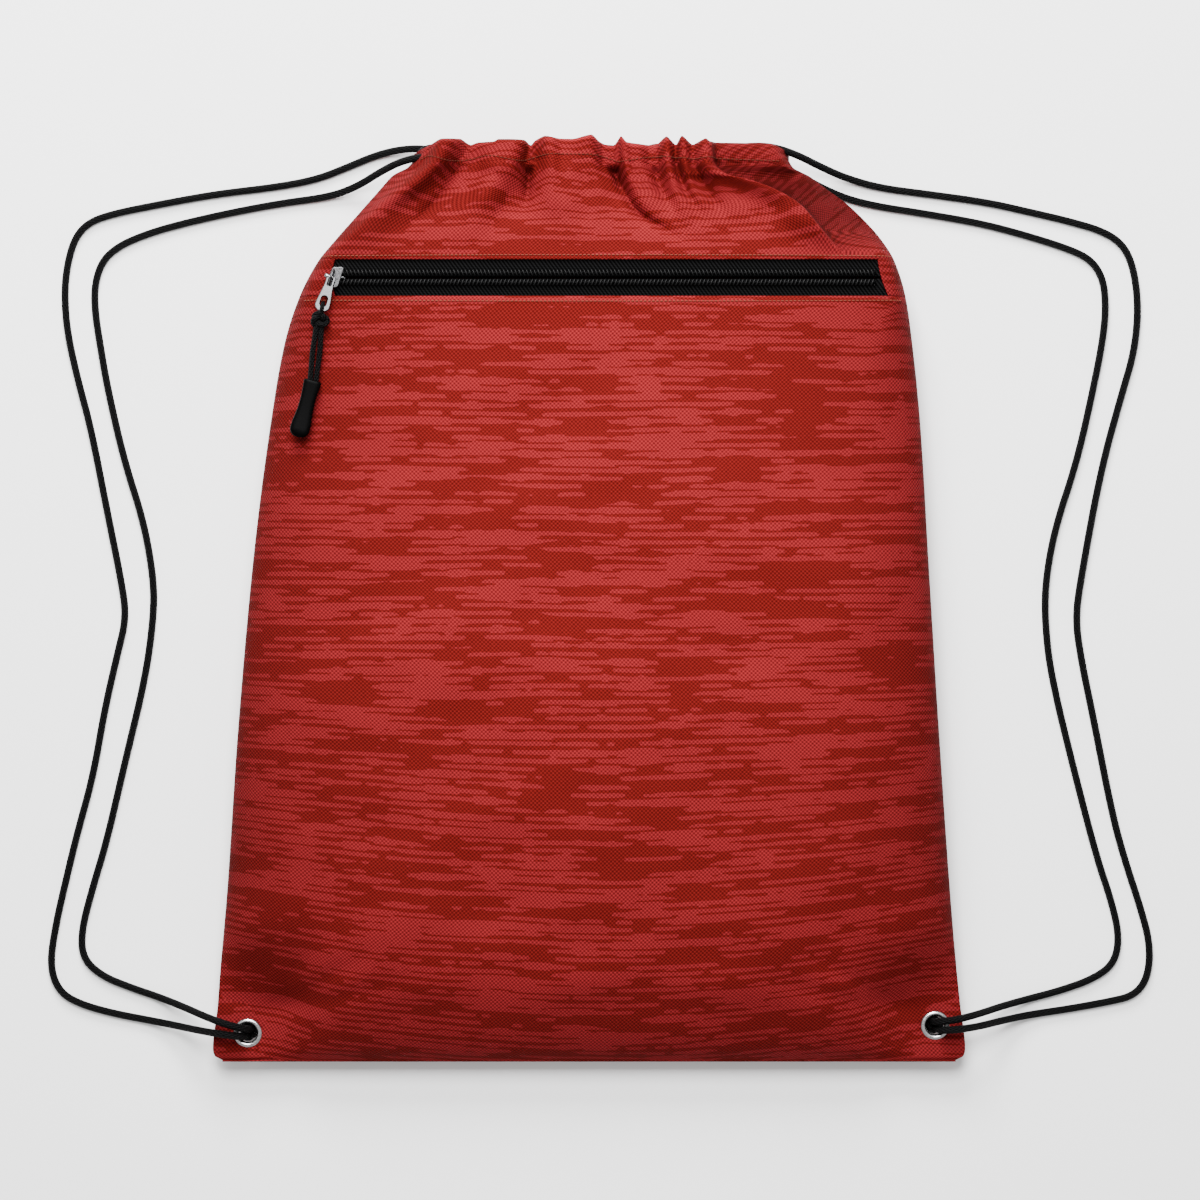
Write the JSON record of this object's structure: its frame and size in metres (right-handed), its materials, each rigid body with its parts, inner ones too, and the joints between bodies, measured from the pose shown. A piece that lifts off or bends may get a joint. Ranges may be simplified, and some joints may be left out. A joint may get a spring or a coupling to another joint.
{
  "type": "drawstring backpack",
  "caption": "Drawstring backpack lying on its back: gathered cord-closed mouth, front zip pocket, corner eyelets and two drawcords that serve as shoulder straps.",
  "frame": {"origin": "centre of the bag's box on the surface that its back lies on", "axes": "+Y towards the mouth, +Z out of the back panel towards the front, +X to the right seen from the front"},
  "size_m": [0.5274, 0.4368, 0.0465],
  "materials": {
    "fabric_red": "matt woven, two-tone streaks",
    "lining": "matt woven",
    "zip_tape": "matt woven",
    "zip_coil": "satin",
    "slider_metal": "plated, satin",
    "eyelet_metal": "plated",
    "cord_black": "braided",
    "grip_black": "matt moulded"
  },
  "bodies": {
    "bag": {"front_panel": "fabric_red", "front_yoke": "fabric_red", "back_panel": "fabric_red", "front_casing": "fabric_red", "back_casing": "fabric_red", "pocket_lining": "lining", "zip_tab_left": "fabric_red", "zip_tab_right": "fabric_red", "zip_tape_upper": "zip_tape", "zip_tape_lower": "zip_tape", "zip_coil_upper": "zip_coil", "zip_coil_lower": "zip_coil", "eyelet_left": "eyelet_metal", "eyelet_right": "eyelet_metal", "washer_left": "eyelet_metal", "washer_right": "eyelet_metal", "drawcord_left": "cord_black", "drawcord_right": "cord_black", "cord_knot_left": "cord_black", "cord_knot_right": "cord_black"},
    "slider": {"slider": "slider_metal"},
    "pull_tab": {"pull_tab": "slider_metal"},
    "pull": {"pull_cord": "cord_black", "pull_knot": "cord_black", "pull_grip": "grip_black"}
  },
  "joints": [
    {"name": "slider_travel", "type": "slide", "parent": "bag", "child": "slider", "axis": [1, 0, 0], "range_m": [0, 0.245]},
    {"name": "tab_lift", "type": "hinge", "parent": "slider", "child": "pull_tab", "pos_m": [-0.1207, 0.1513, 0.0416], "axis": [-0.9527, 0.304, 0], "range_deg": [0, 150]},
    {"name": "cord_swing", "type": "hinge", "parent": "pull_tab", "child": "pull", "pos_m": [-0.12461, 0.13904, 0.0425], "axis": [0, 0, 1], "range_deg": [-25, 40]}
  ]
}
